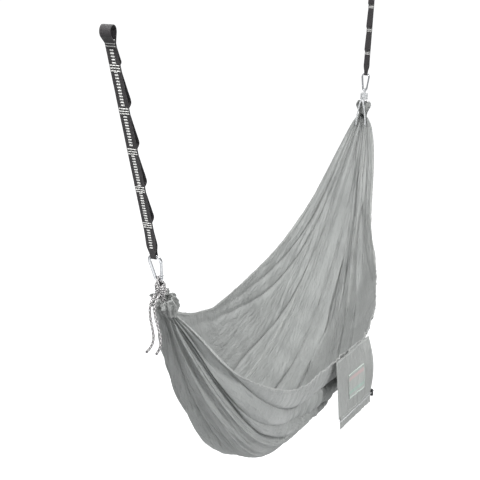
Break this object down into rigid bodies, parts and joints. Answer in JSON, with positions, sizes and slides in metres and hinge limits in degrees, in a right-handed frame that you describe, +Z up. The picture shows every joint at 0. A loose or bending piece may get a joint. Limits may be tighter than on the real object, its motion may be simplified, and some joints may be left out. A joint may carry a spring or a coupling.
{
  "type": "camping hammock",
  "caption": "Gathered-end fabric camping hammock hung open by cord loops and snap carabiners from daisy-chain tree straps, with a drawcord storage pouch on one rim.",
  "frame": {"origin": "centre of the sewn anchor eye at the top of the head strap, which the part hangs from", "axes": "+X from the head end to the foot end, +Y towards the back rim (the pouch hangs on the -Y rim), +Z up"},
  "size_m": [2.4717, 0.6396, 1.6895],
  "materials": {
    "sling_cloth": "satin",
    "hem_tape": "satin",
    "head_cord": "matte",
    "foot_cord": "matte",
    "webbing": "matte",
    "tack_thread": "matte",
    "label": "matte",
    "steel": "polished",
    "plastic": "satin"
  },
  "bodies": {
    "sling": {"centre_panel": "sling_cloth", "front_side_panel": "sling_cloth", "back_side_panel": "sling_cloth", "front_panel_seam": "hem_tape", "back_panel_seam": "hem_tape", "front_rim_hem": "hem_tape", "back_rim_hem": "hem_tape", "head_end_channel": "sling_cloth", "foot_end_channel": "sling_cloth", "head_gather_cord": "head_cord", "foot_gather_cord": "foot_cord", "head_cord_knot": "head_cord", "foot_cord_knot": "foot_cord"},
    "head_tails": {"head_cord_tails": "head_cord"},
    "foot_tails": {"foot_cord_tails": "foot_cord"},
    "head_carabiner": {"head_carabiner_frame": "steel"},
    "head_gate": {"head_carabiner_gate": "steel", "head_gate_rivet": "steel", "head_gate_spring": "steel"},
    "head_strap": {"head_strap_webbing": "webbing", "head_strap_loops": "webbing", "head_strap_bar_tacks": "tack_thread"},
    "foot_carabiner": {"foot_carabiner_frame": "steel"},
    "foot_gate": {"foot_carabiner_gate": "steel", "foot_gate_rivet": "steel", "foot_gate_spring": "steel"},
    "foot_strap": {"foot_strap_webbing": "webbing", "foot_strap_loops": "webbing", "foot_strap_bar_tacks": "tack_thread"},
    "pouch": {"pouch_hang_tab": "hem_tape", "pouch_back": "sling_cloth", "pouch_front": "sling_cloth", "pouch_mouth_hem": "hem_tape", "pouch_label": "label", "pouch_drawcord": "foot_cord"},
    "cord_lock": {"cord_lock_barrel": "plastic", "cord_lock_spring": "steel"},
    "cord_lock_button": {"cord_lock_button": "plastic"}
  },
  "joints": [
    {"name": "head_sway", "type": "hinge", "parent": "sling", "child": "head_carabiner", "pos_m": [0.18458, 0, -0.61134], "axis": [1, 0, 0], "range_deg": [-35, 35]},
    {"name": "head_strap_swing", "type": "hinge", "parent": "head_carabiner", "child": "head_strap", "pos_m": [0.16579, 0, -0.54912], "axis": [0, 1, 0], "range_deg": [-50, 50]},
    {"name": "head_gate_open", "type": "hinge", "parent": "head_carabiner", "child": "head_gate", "pos_m": [0.18317, -0.0092, -0.60668], "axis": [-0.9573, 0, -0.289], "range_deg": [0, 24], "stiffness_Nm_per_rad": 0.3},
    {"name": "foot_sway", "type": "hinge", "parent": "sling", "child": "foot_carabiner", "pos_m": [2.36458, 0, -0.61134], "axis": [1, 0, 0], "range_deg": [-35, 35]},
    {"name": "foot_strap_swing", "type": "hinge", "parent": "foot_carabiner", "child": "foot_strap", "pos_m": [2.37261, 0, -0.54684], "axis": [0, 1, 0], "range_deg": [-50, 50]},
    {"name": "foot_gate_open", "type": "hinge", "parent": "foot_carabiner", "child": "foot_gate", "pos_m": [2.36518, -0.0092, -0.60651], "axis": [-0.9923, 0, 0.1236], "range_deg": [0, 24], "stiffness_Nm_per_rad": 0.3},
    {"name": "head_tails_swing", "type": "hinge", "parent": "sling", "child": "head_tails", "pos_m": [0.17858, 0, -0.65784], "axis": [0, 1, 0], "range_deg": [0, 35]},
    {"name": "foot_tails_swing", "type": "hinge", "parent": "sling", "child": "foot_tails", "pos_m": [2.33858, 0, -0.65384], "axis": [0, 1, 0], "range_deg": [0, 35]},
    {"name": "pouch_flap", "type": "hinge", "parent": "sling", "child": "pouch", "pos_m": [1.15678, -0.2692, -1.25208], "axis": [-0.9686, 0.2487, 0], "range_deg": [0, 100]},
    {"name": "cord_lock_slide", "type": "slide", "parent": "pouch", "child": "cord_lock", "axis": [0.9686, -0.2487, 0], "range_m": [0, 0.008]},
    {"name": "cord_lock_press", "type": "slide", "parent": "cord_lock", "child": "cord_lock_button", "axis": [-0.0221, -0.0861, -0.996], "range_m": [0, 0.003], "stiffness_N_per_m": 400, "springref_m": -0.001, "deforming": ["cord_lock_spring"]}
  ],
  "couplings": [
    {"joint": "foot_sway", "follows": "head_sway", "ratio": 1}
  ]
}
